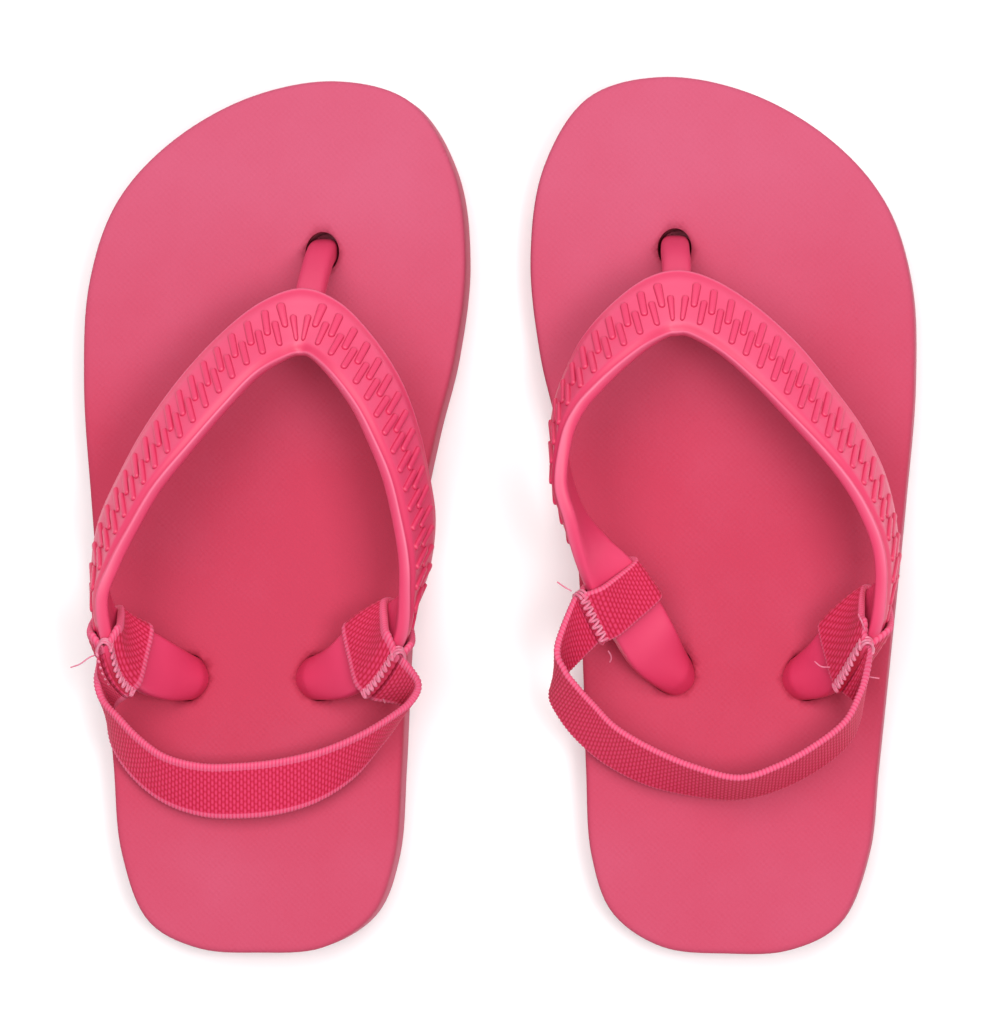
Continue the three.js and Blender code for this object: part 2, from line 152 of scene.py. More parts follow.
# The strap's section: across from the front edge to the rear edge, out towards the barred face, and
# how light each place is painted: painted highlights on the rims, a painted sheen on the face and
# painted shade on the bevels
STRAP_SECTION = [
    (-5.6, -1.4, 0.3), (-5.96, -1.0, 0.3), (-6.03, -0.2, 0.3), (-6.03, 0.6, 0.8), (-5.95, 0.86, 1),
    (-5.72, 0.93, 0.8), (-5.4, 0.98, 0.2), (-4.8, 1.2, 0.3), (-4.2, 1.38, 0.5), (-2.4, 1.47, 0.5),
    (0, 1.5, 0.5), (2.4, 1.48, 0.5), (4.2, 1.42, 0.5), (4.7, 1.27, 0.2), (5.1, 1.02, 0),
    (5.5, 0.8, 0), (5.74, 0.78, 0.7), (5.94, 0.72, 1), (6.02, 0.48, 0.8), (6, -0.6, 0.3),
    (5.7, -1.3, 0.3), (5, -1.5, 0.3), (2.5, -1.5, 0.3), (0, -1.5, 0.3), (-2.5, -1.5, 0.3),
    (-4.9, -1.5, 0.3),
]
# Near the footbed the inner face swells into the plug's neck, where the strap is painted darker as
# painted shade
ROOT = {"swell": 2.3, "height": 9.0, "narrow": 0.03, "painted_shade": 0.6}
# Bars lean around the line where both rows overlap
BARS = {"pitch": 3.42, "first": 1.3, "stagger": 1.7, "pivot": -0.2, "inner": (-1.0, 4.1),
        "outer": (-3.9, 1.15), "margin": 0.8}
# How far bars lean, at how far from the apex
LEAN = [(0, -0.08), (6, 0.42), (30, 0.6)]
# A bar's rings from its root to its crown: half width, and height over the strap's face
BAR_RINGS = [(0.66, -0.15), (0.64, 0.03), (0.58, 0.2), (0.5, 0.36), (0.38, 0.46), (0.16, 0.5)]
# Painted shade at each bar's foot, lighter towards its crown
BAR_PAINTED_SHADING = [-0.9, -0.9, -0.5, 0.05, 0.2, 0.2]  # how light each of those rings is
PLAIN = 0.3  # how light the smooth parts of the moulding are
BAR_END_POINTS = 9
LEFT_POST = [(8.8, 48.2, -10.5), (8.8, 48.4, -3), (8.7, 46.8, 3), (8.4, 42.8, 9.5),
             (8.1, 38.4, 15.6)]
RIGHT_POST = [(8.8, 48.4, -10.5), (8.8, 48.4, -3), (8.4, 47.4, 3), (7.7, 44.8, 9.5),
              (7.2, 40.8, 15.6)]
POST = {"width": 5.2, "depth": 4.8, "squareness": 3.0, "sides": 36, "rings": 36}
SIDE_PLUG = (4.5, 7.5)
TOE_PLUG = (7.0, 7.0)
# A plug's rings, as a share of its half sizes, and height over the ground
PLUG_RINGS = [(0.5, 0.75), (0.56, 0.7), (0.6, 0.5), (0.9, 0.5), (0.97, 0.62), (1, 0.9),
              (1, 1.9), (0.97, 2.2), (0.9, 2.3)]
PLUG_SIDES = 48
RECESS_GAP = 0.3
RECESS_TOP = 2.6
PASSAGE = {"below": 0.2, "above": 1.0}  # how far a passage's cutter runs past the foam it cuts

# Elastic webbing
WEBBING = {"width": 11.4, "thickness": 1.0, "column": 0.66, "float": 1.33, "relief": 0.14,
           "selvedge": {"left": 1.15, "right": 0.6}, "welt": 0.04}
# Places on the webbing's section from an edge inwards, and where its evenly spaced part lies
WEBBING_RIM = [0, 0.05, 0.18, 0.38, 0.62, 0.88, 1.12]
WEBBING_EVEN = {"first": 1.33, "last": 1.2, "samples": 6}
EDGE_ROUNDING = 0.6
COLUMN_SAMPLES = 4
BAND_START = 0.3  # how far the band runs on past its seams, in stations
# Where each loop covers its arm, in stations counted from the arm's own plug: both ends of its
# seam, its upper edge on the arm's faces, and the seam's place across the arm and out of it
LOOPS = {
    ("left", "lateral"): {"seam": (3.3, 5.0), "face": 5.25, "across": 7.3, "out": 0.0},
    ("left", "medial"): {"seam": (3.1, 4.7), "face": 4.9, "across": 7.4, "out": 0.0},
    ("right", "lateral"): {"seam": (2.7, 4.65), "face": 5.1, "across": 7.1, "out": -1.2},
    ("right", "medial"): {"seam": (3.15, 4.05), "face": 4.05, "across": 8.0, "out": 0.0},
}
# A loop's course round the arm's section, from the inner face over the front edge to the outer
# face: across the arm, out of its face, and how much further out the upper edge stands
LOOP_COURSE = [
    (5.7, -1.95, -0.5), (4, -2.2, -0.8), (0.5, -2.2, -0.6), (-3.5, -2.2, -0.2), (-5.8, -1.85, 0),
    (-6.6, -0.4, 0), (-6.35, 1.1, 0), (-5, 2.15, 0.1), (-2, 2.65, 0.1), (1.5, 2.75, 0.1),
    (4.2, 2.6, 0), (5.9, 1.9, 0),
]
# Both layers at the seam, as places from it: the end of the inner one, and the outer one
INNER_END = [(0.7, -0.72, 0), (-0.15, -0.55, 0)]
OUTER_END = [(-0.15, 0.6, 0), (0.6, 0.75, 0)]
# Band stations from the outer side to the inner side: upper edge, then lower edge
LEFT_BAND = [
    (-30.2, -28.6, 17.4, -27.6, -34.1, 7.6),
    (-29.4, -32.8, 14.6, -29.2, -36.6, 4.6),
    (-26.8, -35.7, 12.6, -28.8, -42, 2.6),
    (-23, -39.5, 11, -25.3, -47.7, 2),
    (-18.4, -42.6, 10, -19.7, -52.3, 2),
    (-12, -44.3, 9.1, -12.8, -54.6, 2.5),
    (-5, -44.4, 8.6, -5.6, -54.8, 3),
    (2.2, -43.6, 8.6, 1.6, -54, 3),
    (9.6, -41.8, 9.1, 8.6, -51.7, 2.5),
    (17, -38.7, 10.6, 14.6, -47.7, 2.2),
    (23.4, -35.2, 13, 18.9, -42.4, 2.8),
    (27.2, -32.6, 15, 22.4, -37.6, 4.5),
    (28.4, -29.4, 16.8, 24, -34.2, 6.4),
]
RIGHT_BAND = [
    (-28.2, -27.4, 18.4, -26, -34, 7.6),
    (-26.8, -31.4, 16.6, -26, -36.8, 5.2),
    (-24.2, -36.4, 14.8, -23.8, -41.2, 3.9),
    (-18.8, -40.9, 13.6, -18.4, -45.6, 3.2),
    (-12.4, -44.6, 13.4, -11.4, -49.2, 3),
    (-5.4, -46.9, 13.4, -4.4, -50.9, 2.8),
    (2.6, -45.2, 12.7, 3.6, -50.4, 2.8),
    (10.4, -42, 12.1, 12, -48.7, 2.9),
    (16.8, -38.1, 12.6, 19.6, -45.2, 3.2),
    (20.6, -34, 13.6, 25, -41, 3.8),
    (23.6, -31, 14.5, 28.2, -36.6, 4.5),
    (26, -28, 15.6, 29.4, -33.2, 5.3),
    (27.4, -23.4, 17.6, 27.4, -30.4, 6.4),
]

# Sewing thread
BARTACK = {"reach": 0.95, "pitch": 1.55, "radius": 0.28, "lift": 1.3, "arch": 0.2,
           "margin": 0.06, "step": 0.12}
# Turns of thread over a seam's upper edge: their places across it, their reach out of each face, and
# where they start and how far they rise, as shares of the seam's length
WHIPPING = {"places": (-0.68, 0.0, 0.68), "radius": 0.25, "lift": 1.2, "start": -0.06,
            "rise": 0.11}
THREAD_SIDES = 7
TAIL = {"radius": 0.13, "step": 0.3}

SHOES = {
    "left": {"outer": LEFT_OUTER_ARM, "apex": LEFT_APEX, "inner": LEFT_INNER_ARM,
             "band": LEFT_BAND, "post": LEFT_POST, "mirror": 1, "turn": 0.0},
    "right": {"outer": RIGHT_OUTER_ARM, "apex": RIGHT_APEX, "inner": RIGHT_INNER_ARM,
              "band": RIGHT_BAND, "post": RIGHT_POST, "mirror": -1, "turn": -1.0},
}
# Thread tails at the seams: local places from the knot outwards, heights over the footbed
THREAD_TAILS = {
    ("left", "lateral"): [
        [(-28.6, -24.6, 21), (-30.6, -25.4, 21.6), (-32.4, -26.6, 21.2), (-34.2, -27.2, 20.4)],
    ],
    ("left", "medial"): [[(22, -31, 12), (21.2, -32.4, 11), (21.4, -33.6, 9.6)]],
    ("right", "lateral"): [
        [(-27.8, -20.2, 22.6), (-27.2, -18.6, 23.4), (-26.6, -17.4, 23.2)],
        [(-21.2, -27, 11.2), (-19.6, -26.9, 10.8), (-18.4, -26, 11)],
        [(-27, -28.4, 15), (-28.6, -28.6, 14.6), (-30.2, -28.8, 14.4)],
    ],
    ("right", "medial"): [
        [(24.6, -14.2, 22), (26, -13.4, 22.4), (27.2, -12.6, 22)],
        [(18.7, -24.8, 11), (18.3, -25.5, 10.4), (18.2, -26.2, 9.8), (18.5, -26.8, 9.3)],
    ],
}

# Colours, as sRGB
FOAM = (223, 68, 100)
# Painted light on the footbed at the toes and the heel
FOAM_PAINTED_LIGHT = (234, 103, 137)
FOAM_SIDE = (236, 122, 148)
PVC = (252, 70, 118)
# Painted shade and painted highlight of the strap's PVC
PVC_PAINTED_SHADE = (232, 42, 90)
PVC_PAINTED_HIGHLIGHT = (255, 124, 160)
# Painted shade in the webbing's gaps
WEB_GAP_PAINTED_SHADE = (214, 10, 60)
WEB_THREAD = (255, 68, 118)
WEB_EDGE = (255, 108, 148)
THREAD = (255, 150, 180)
FLOOR = (247, 247, 247)
FLOOR_GREY = (240, 240, 240)

# How much of the light each surface throws back, against a white floor in the same light
SHADE = 0.62
PLASTIC_SHADE = 0.66
EMBOSS_PITCH = 0.00082

# Camera and lights
CAMERA = {"place": (0.1206, -0.0203, 1.342), "aim": (0.0006, -0.0003, 0.012), "lens": 265.0,
          "sensor": 36.0}
LIGHTS = {"key": {"place": (0.5, -0.1, 1.2), "size": 0.4, "power": 6.5},
          "top": {"place": (-0.1, 0.4, 1.9), "size": 1.8, "power": 40}}
SKY = 0.37
FLOOR_REACH = 3.0
FLOOR_DROP = 0.0002


# Curves and ribbons


def hermite(first, second, leave, arrive, share):
    """Points between two ends whose tangents are given; share runs from 0 to 1."""
    w = share[:, None]
    return (first * (2 * w**3 - 3 * w**2 + 1) + leave * (w**3 - 2 * w**2 + w)
            + second * (3 * w**2 - 2 * w**3) + arrive * (w**3 - w**2))


def through(points, stations):
    """Places on an open curve that passes point k at station k."""
    points = np.asarray(points, float)
    last = len(points) - 1
    stations = np.clip(stations, 0, last)
    index = np.minimum(stations.astype(int), last - 1)
    ends = np.vstack([2 * points[0] - points[1], points, 2 * points[-1] - points[-2]])
    before, here, there, after = (ends[index + k] for k in range(4))
    return hermite(here, there, (there - before) / 2, (after - here) / 2, stations - index)


def closed_loop(points, count):
    """Evenly spaced places on a closed curve through the points."""
    points = np.asarray(points, float)
    size = len(points)
    gaps = np.linalg.norm(np.roll(points, -1, axis=0) - points, axis=1) ** 0.5
    fine = []
    for k in range(size):
        before, here, there, after = (points[(k + j) % size] for j in (-1, 0, 1, 2))
        g0, g1, g2 = gaps[k - 1], gaps[k], gaps[(k + 1) % size]
        leave = (here - before) / g0 - (there - before) / (g0 + g1) + (there - here) / g1
        arrive = (there - here) / g1 - (after - here) / (g1 + g2) + (after - there) / g2
        share = np.linspace(0, 1, 24, endpoint=False)
        fine.append(hermite(here, there, leave * g1, arrive * g1, share))
    fine = np.vstack(fine)
    run = np.concatenate([[0], np.cumsum(np.linalg.norm(
        np.diff(np.vstack([fine, fine[:1]]), axis=0), axis=1))])
    even = np.linspace(0, run[-1], count, endpoint=False)
    return np.stack([np.interp(even, run, np.append(fine[:, k], fine[0, k]))
                     for k in range(points.shape[1])], axis=1)


def spaced(points, step):
    """Places at even steps on an open curve through the points."""
    points = np.asarray(points, float)
    fine = through(points, np.linspace(0, len(points) - 1, (len(points) - 1) * 24 + 1))
    run = np.concatenate([[0], np.cumsum(np.linalg.norm(np.diff(fine, axis=0), axis=1))])
    even = np.linspace(0, run[-1], max(2, round(run[-1] / step) + 1))
    return np.stack([np.interp(even, run, fine[:, k]) for k in range(points.shape[1])], axis=1)


def unit(vectors):
    return vectors / np.linalg.norm(vectors, axis=-1, keepdims=True)


class Ribbon:
    """A strip between two edge lines, with axes at any station: across it, and out of its face."""

    def __init__(self, stations):
        lifted = np.array(stations, float)
        lifted[:, [2, 5]] += FOOTBED_TOP
        self.first, self.second = lifted[:, :3], lifted[:, 3:]
        self.last = len(lifted) - 1
        self.fine = np.linspace(0, self.last, self.last * 30 + 1)
        steps = np.linalg.norm(np.diff(self.middle(self.fine), axis=0), axis=1)
        self.run = np.concatenate([[0], np.cumsum(steps)])

    def middle(self, stations):
        return (through(self.first, stations) + through(self.second, stations)) / 2

    def station(self, length):
        return np.interp(length, self.run, self.fine)

    def length(self, station):
        return float(np.interp(station, self.fine, self.run))

    def frames(self, stations):
        flat = np.ravel(stations)
        first, second = through(self.first, flat), through(self.second, flat)
        along = self.middle(flat + 0.02) - self.middle(flat - 0.02)
        across = unit(second - first)
        out = unit(np.cross(across, along))
        width = np.linalg.norm(second - first, axis=1)
        shape = np.shape(stations)
        return tuple(v.reshape(*shape, -1) for v in ((first + second) / 2, across, out, width))


def strap_ribbon(shoe):
    return Ribbon([*shoe["outer"], shoe["apex"], *reversed(shoe["inner"])])


# Meshes


class Shell:
    """Closed surfaces in a shoe's own millimetres, gathered into one mesh."""

    def __init__(self):
        self.points, self.faces, self.values = [], [], {"relief": [], "selvedge": []}
        self.count = 0

    def add(self, points, faces, **values):
        points = np.asarray(points, float).reshape(-1, 3)
        self.points.append(points)
        self.faces.extend([[self.count + k for k in face] for face in faces])
        for name, stored in self.values.items():
            stored.append(np.broadcast_to(np.ravel(values.get(name, 0.0)), len(points)))
        self.count += len(points)

    def loft(self, rings, **values):
        """Rings of equal size joined in turn and closed at both ends."""
        rings = np.asarray(rings, float)
        rows, columns = rings.shape[:2]
        self.add(rings, loft_faces(rows, columns), **values)


def loft_faces(rows, columns):
    row = np.arange(rows - 1)[:, None] * columns
    column = np.arange(columns)[None, :]
    here, beside = row + column, row + (column + 1) % columns
    quads = np.stack([here, beside, beside + columns, here + columns], axis=-1)
    caps = [list(range(columns))[::-1], list(range((rows - 1) * columns, rows * columns))]
    return quads.reshape(-1, 4).tolist() + caps


def corner(foot):
    """Where a shoe's own origin lies in the row frame, from the box of its CAD outsole."""
    low, high = (np.array(v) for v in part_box(f"{foot}_outsole"))
    outline = turned(foot, np.pad(closed_loop(SOLE_OUTLINE, OUTLINE_POINTS), ((0, 0), (0, 1))))
    middle = (outline.min(axis=0) + outline.max(axis=0)) / 2
    shift = (low + high) / 2 - middle
    return np.array([shift[0], shift[1], 0.0])


def turned(foot, points):
    """Local millimetres as metres, mirrored and turned as the foot asks."""
    shoe = SHOES[foot]
    angle = math.radians(shoe["turn"])
    x, y = points[:, 0] * shoe["mirror"] * MM, points[:, 1] * MM
    return np.stack([x * math.cos(angle) - y * math.sin(angle),
                     x * math.sin(angle) + y * math.cos(angle), points[:, 2] * MM], axis=1)


def placed(foot, points):
    return turned(foot, np.asarray(points, float).reshape(-1, 3)) + corner(foot)


def make_mesh(name, points, faces, sharp):
    mesh = bpy.data.meshes.new(name)
    mesh.from_pydata(points.tolist(), [], faces)
    work = bmesh.new()
    work.from_mesh(mesh)
    bmesh.ops.recalc_face_normals(work, faces=work.faces)
    work.to_mesh(mesh)
    work.free()
    mesh.shade_smooth()
    mesh.set_sharp_from_angle(angle=math.radians(sharp))
    piece = bpy.data.objects.new(name, mesh)
    bpy.context.collection.objects.link(piece)
    return piece


def make_piece(foot, name, shell, look, replaced, sharp=50):
    """A shell as one object of a shoe, with its material and the CAD nodes it replaces."""
    piece = make_mesh(f"{foot}_{name}", placed(foot, np.vstack(shell.points)), shell.faces, sharp)
    for key, stored in shell.values.items():
        layer = piece.data.attributes.new(key, "FLOAT", "POINT")
        layer.data.foreach_set("value", np.concatenate(stored).astype(np.float32))
    piece.data.materials.append(look)
    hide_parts(*(f"{foot}_{node}" for node in replaced))
    return piece


# Sole


def outline_ring(inset, height):
    loop = closed_loop(SOLE_OUTLINE, OUTLINE_POINTS)
    tangent = unit(np.roll(loop, -1, axis=0) - np.roll(loop, 1, axis=0))
    inward = np.stack([-tangent[:, 1], tangent[:, 0]], axis=1)
    return np.column_stack([loop + inward * inset, np.full(len(loop), height)])


def oval(x, y, half_width, half_length, height, sides=PLUG_SIDES):
    angle = np.linspace(0, 2 * math.pi, sides, endpoint=False)
    return np.column_stack([x + half_width * np.cos(angle), y + half_length * np.sin(angle),
                            np.full(sides, height)])


def slot_ring(ribbon, near, height):
    """The edge of the slot that the strap passes at a height, next to one end of the ribbon."""
    centre, across, out, width = ribbon.frames(near + np.linspace(-1.2, 1.2, 61))
    loop = closed_loop(SLOT_SECTION, SLOT_POINTS)
    a = loop[:, 0] * (width / STRAP_WIDTH + SLOT_GAP / 6)
    lines = centre[:, None] + a[..., None] * across[:, None] + loop[:, 1:] * out[:, None]
    ring = []
    for line in lines.transpose(1, 0, 2):
        line = line[np.argsort(line[:, 2])]
        ring.append([np.interp(height, line[:, 2], line[:, k]) for k in (0, 1)] + [height])
    return np.array(ring)


def squared_circle(half_width, half_length, power, sides):
    """A closed curve between an ellipse, at power 2, and a rectangle."""
    angle = np.linspace(0, 2 * math.pi, sides, endpoint=False)
    cos, sin = np.cos(angle), np.sin(angle)
    return (half_width * np.sign(cos) * np.abs(cos) ** (2 / power),
            half_length * np.sign(sin) * np.abs(sin) ** (2 / power))


def hole_rings(ribbon, height):
    """The edges of the toe hole and both slots at a height."""
    toe = oval(TOE_HOLE["x"], TOE_HOLE["y"], TOE_HOLE["width"] / 2, TOE_HOLE["length"] / 2,
               height, TOE_HOLE["sides"])
    return [toe, slot_ring(ribbon, SLOT_STATION, height),
            slot_ring(ribbon, ribbon.last - SLOT_STATION, height)]


def inside(points, loop):
    """Whether each flat point lies in a closed loop."""
    x, y = points[:, 0:1], points[:, 1:2]
    x0, y0 = loop[:, 0], loop[:, 1]
    x1, y1 = np.roll(x0, -1), np.roll(y0, -1)
    with np.errstate(divide="ignore", invalid="ignore"):
        crossing = ((y0 > y) != (y1 > y)) & (x < (x1 - x0) * (y - y0) / (y1 - y0) + x0)
    return crossing.sum(axis=1) % 2 == 1


def distance(points, loop):
    return np.linalg.norm(points[:, None, :2] - loop[None, :, :2], axis=2).min(axis=1)


def sheet_between(rim, holes, spacing):
    """Triangles of a flat sheet inside a rim, with holes, whose inner points are evenly spread."""
    low, high = rim[:, :2].min(axis=0), rim[:, :2].max(axis=0)
    x = np.arange(low[0], high[0], spacing)
    y = np.arange(low[1], high[1], spacing * 0.866)
    grid = np.stack(np.meshgrid(x, y), axis=-1)
    grid[1::2, :, 0] += spacing / 2
    grid = grid.reshape(-1, 2)
    keep = inside(grid, rim) & (distance(grid, rim) > spacing * 0.6)
    for hole in holes:
        keep &= ~inside(grid, hole) & (distance(grid, hole) > spacing * 0.4)
    loops = [rim, *holes]
    points = np.vstack([*(loop[:, :2] for loop in loops), grid[keep]])
    edges, start = [], 0
    for loop in loops:
        size = len(loop)
        edges += [(start + k, start + (k + 1) % size) for k in range(size)]
        start += size
    result = delaunay_2d_cdt([Vector(p) for p in points], edges, [], 1, 1e-5)
    flat = np.array([tuple(p) for p in result[0]])
    faces = [list(face) for face in result[2]]
    middles = np.array([flat[face].mean(axis=0) for face in faces])
    outside = ~inside(middles, rim)
    for hole in holes:
        outside |= inside(middles, hole)
    return flat, [face for face, out in zip(faces, outside) if not out]


def footbed(foot, ribbon, look):
    """The upper foam layer: walls, a dimpled top, and the toe hole and strap slots."""
    rings = [outline_ring(inset, height) for inset, height in FOOTBED_WALL]
    top_holes, low_holes = (hole_rings(ribbon, rings[k][0, 2]) for k in (-1, 0))
    shell = Shell()
    bottom, bottom_faces = sheet_between(rings[0], low_holes, 6 * TOP_GRID)
    top, top_faces = sheet_between(rings[-1], top_holes, TOP_GRID)
    near = np.min([distance(top, hole) for hole in top_holes], axis=0)
    drop = DIMPLE["depth"] * np.clip(1 - near / DIMPLE["reach"], 0, 1) ** 2
    shell.add(np.column_stack([bottom, np.full(len(bottom), rings[0][0, 2])]), bottom_faces)
    shell.add(np.column_stack([top, FOOTBED_TOP - drop]), top_faces)
    walls = np.array(rings)
    quads = loft_faces(len(rings), OUTLINE_POINTS)[:-2]
    shell.add(walls, quads)
    for high, low in zip(top_holes, low_holes):
        edge = high.copy()
        edge[:, 2] -= DIMPLE["depth"]
        shell.add(np.array([edge, low]), loft_faces(2, len(high))[:-2])
    piece = make_piece(foot, "footbed_foam", shell, look, ["footbed"], sharp=40)
    weld(piece, WELD_REACH)
    return piece


def weld(piece, reach):
    """Joins the points of a piece that lie within a reach in millimetres."""
    work = bmesh.new()
    work.from_mesh(piece.data)
    bmesh.ops.remove_doubles(work, verts=work.verts, dist=reach * MM)
    bmesh.ops.recalc_face_normals(work, faces=work.faces)
    work.to_mesh(piece.data)
    work.free()


def carve(piece, foot, shell):
    """Cuts closed shells out of a piece."""
    cutter = make_mesh("cutter", placed(foot, np.vstack(shell.points)), shell.faces, 30)
    cutter.data.materials.append(piece.data.materials[0])
    modifier = piece.modifiers.new("carve", "BOOLEAN")
    modifier.operation = "DIFFERENCE"
    modifier.solver = "EXACT"
    modifier.object = cutter
    bpy.context.view_layer.update()
    carved = bpy.data.meshes.new_from_object(piece.evaluated_get(
        bpy.context.evaluated_depsgraph_get()))
    piece.modifiers.clear()
    piece.data = carved
    bpy.data.objects.remove(cutter)


def tread_grooves():
    shell = Shell()
    reach, half = 60.0, TREAD["width"] / 2
    for k in range(TREAD["count"]):
        y = TREAD["first"] + k * TREAD["pitch"]
        top = y + TREAD["chevron"]
        path = [(-reach, y - half), (0, top - half), (reach, y - half),
                (reach, y + half), (0, top + half), (-reach, y + half)]
        shell.loft([[(x, v, height) for x, v in path] for height in (-1, TREAD["depth"])])
    return shell


def plug_places(shoe):
    middles = [((arm[0][0] + arm[0][3]) / 2, (arm[0][1] + arm[0][4]) / 2, *SIDE_PLUG)
               for arm in (shoe["outer"], shoe["inner"])]
    return [*middles, (shoe["post"][0][0], shoe["post"][0][1], *TOE_PLUG)]


def outsole(foot, ribbon, look):
    """The lower foam layer, with its tread, the recesses of the plugs and the strap's passages."""
    shell = Shell()
    shell.loft([outline_ring(inset, height) for inset, height in OUTSOLE_WALL])
    piece = make_piece(foot, "outsole_foam", shell, look, ["outsole"])
    carve(piece, foot, tread_grooves())
    recesses = Shell()
    for x, y, half_width, half_length in plug_places(SHOES[foot]):
        sizes = (half_width + RECESS_GAP, half_length + RECESS_GAP)
        recesses.loft([oval(x, y, *sizes, height) for height in (-1, RECESS_TOP)])
    carve(piece, foot, recesses)
    passages = Shell()
    heights = (RECESS_TOP - PASSAGE["below"], LAYER_SEAM + PASSAGE["above"])
    for low, high in zip(*(hole_rings(ribbon, height) for height in heights)):
        passages.loft([low, high])
    carve(piece, foot, passages)
    piece.data.shade_smooth()
    piece.data.set_sharp_from_angle(angle=math.radians(35))
    return piece


# Strap


def section_loop():
    return closed_loop(STRAP_SECTION, SECTION_POINTS)


def crown(across):
    """Height of the strap's barred face at places across it."""
    loop = section_loop()
    upper = loop[loop[:, 1] > 0]
    upper = upper[np.argsort(upper[:, 0])]
    return np.interp(across, upper[:, 0], upper[:, 1])


def strap_body(shell, ribbon):
    rows = np.linspace(0, ribbon.run[-1], round(ribbon.run[-1] / STRAP_STEP))
    centre, across, out, width = ribbon.frames(ribbon.station(rows))
    loop = section_loop()
    root = np.clip(1 - (centre[:, 2:] - FOOTBED_TOP) / ROOT["height"], 0, 1)
    swell = ROOT["swell"] * root**2 * (1 - (loop[:, 0] / SECTION_REACH) ** 2)
    narrow = 1 - ROOT["narrow"] * root
    a = loop[None, :, 0] * width / STRAP_WIDTH * narrow
    b = loop[None, :, 1] - np.where(loop[:, 1] < -1, swell, 0)
    rings = centre[:, None] + a[..., None] * across[:, None] + b[..., None] * out[:, None]
    # Painted shade darkens the strap towards the footbed
    shell.loft(rings, relief=loop[:, 2] - ROOT["painted_shade"] * root)


def stadium(half_length, radius):
    """A closed ring round a straight bar: along it, and across it."""
    turn = np.linspace(-math.pi / 2, math.pi / 2, BAR_END_POINTS)
    far = np.column_stack([half_length - radius + radius * np.cos(turn), radius * np.sin(turn)])
    return np.vstack([far, -far])


def bar(shell, ribbon, middle, side, span, lean):
    """One raised bar. It leans away from the apex as it runs towards the rear edge."""
    station = ribbon.station(middle)
    _, across, _, _ = (v[0] for v in ribbon.frames(np.array([station])))
    ahead = np.diff(ribbon.middle(station + np.array([-0.02, 0.02])), axis=0)[0]
    skew = across.dot(unit(ahead))
    shift = side * lean * math.sqrt(1 - skew**2) - skew
    turn = math.atan(side * lean)
    half = (span[1] - span[0]) / 2 / math.cos(turn)
    rings = []
    for radius, height in BAR_RINGS:
        ring = stadium(half - BAR_RINGS[0][0] + radius, radius)
        a = (span[0] + span[1]) / 2 + ring[:, 0] * math.cos(turn) - ring[:, 1] * math.sin(turn)
        s = middle + shift * (a - BARS["pivot"]) + ring[:, 1] / math.cos(turn)
        centre, across, out, width = ribbon.frames(ribbon.station(s))
        b = crown(a) + height
        rings.append(centre + (a[:, None] * width / STRAP_WIDTH) * across + b[:, None] * out)
    shell.loft(rings, relief=np.repeat(BAR_PAINTED_SHADING, 2 * BAR_END_POINTS))


def strap_bars(shell, foot, ribbon):
    """Two interlocking rows of bars on each arm, from the apex to its loop."""
    apex = ribbon.length(len(SHOES[foot]["outer"]))
    lateral, medial = (LOOPS[foot, side]["face"] for side in ("lateral", "medial"))
    ends = {-1: apex - ribbon.length(lateral), 1: ribbon.length(ribbon.last - medial) - apex}
    for side, end in ends.items():
        for row, start in (("inner", BARS["first"]), ("outer", BARS["first"] + BARS["stagger"])):
            for reach in np.arange(start, end - BARS["margin"], BARS["pitch"]):
                lean = np.interp(reach, *zip(*LEAN))
                bar(shell, ribbon, apex + side * reach, side, BARS[row], lean)


def toe_post(shell, post):
    """The post from its plug to the strap's underside."""
    path = spaced(np.array(post, float) + (0, 0, FOOTBED_TOP), 0.6)
    share = np.linspace(0, len(path) - 1, POST["rings"])
    a, b = squared_circle(POST["width"] / 2, POST["depth"] / 2, POST["squareness"], POST["sides"])
    rings = [np.column_stack([x + a, y + b, np.full(len(a), z)]) for x, y, z in
             through(path, share)]
    shell.loft(rings, relief=PLAIN)


def plugs(shell, shoe):
    for x, y, half_width, half_length in plug_places(shoe):
        shell.loft([oval(x, y, half_width * share, half_length * share, height)
                    for share, height in PLUG_RINGS], relief=PLAIN)


def thong_strap(foot, ribbon, look):
    shell = Shell()
    strap_body(shell, ribbon)
    strap_bars(shell, foot, ribbon)
    toe_post(shell, SHOES[foot]["post"])
    plugs(shell, SHOES[foot])
    return make_piece(foot, "strap_moulding", shell, look, ["thong_strap"])


# Webbing


def webbing_section(selvedge):
    """Places round a strip's section: across it, half thickness with its sign, and which are edge."""
    half = WEBBING["width"] / 2
    rim = np.array(WEBBING_RIM)
    inner = np.arange(-half + WEBBING_EVEN["first"], half - WEBBING_EVEN["last"],
                      WEBBING["float"] / WEBBING_EVEN["samples"])
    v = np.concatenate([-half + rim, inner, (half - rim)[::-1]])
    depth = half - np.abs(v)
    rounded = np.sqrt(np.clip(1 - (1 - np.minimum(depth / EDGE_ROUNDING, 1)) ** 2, 0, 1))
    edge = depth < selvedge
    welt = WEBBING["welt"] * np.sin(np.pi * np.clip(depth / selvedge, 0, 1))
    thick = WEBBING["thickness"] / 2 * rounded + welt
    body = slice(1, -1)
    return (np.concatenate([v, v[body][::-1]]), np.concatenate([thick, -thick[body][::-1]]),
            np.concatenate([edge, edge[body][::-1]]))


def weave(u, v, selvedge):
    """How high the woven face stands at a length and a width: 0 in a gap, 1 on a thread."""
    column = u / WEBBING["column"]
    rounded = 1 - (2 * (column % 1) - 1) ** 2
    stagger = (np.floor(column) % 2) / 2
    floating = 1 - np.abs(2 * ((v / WEBBING["float"] + stagger) % 1) - 1) ** 2.5
    return np.where(selvedge, 1.3 * rounded - 0.3, rounded * (0.1 + 0.9 * floating))


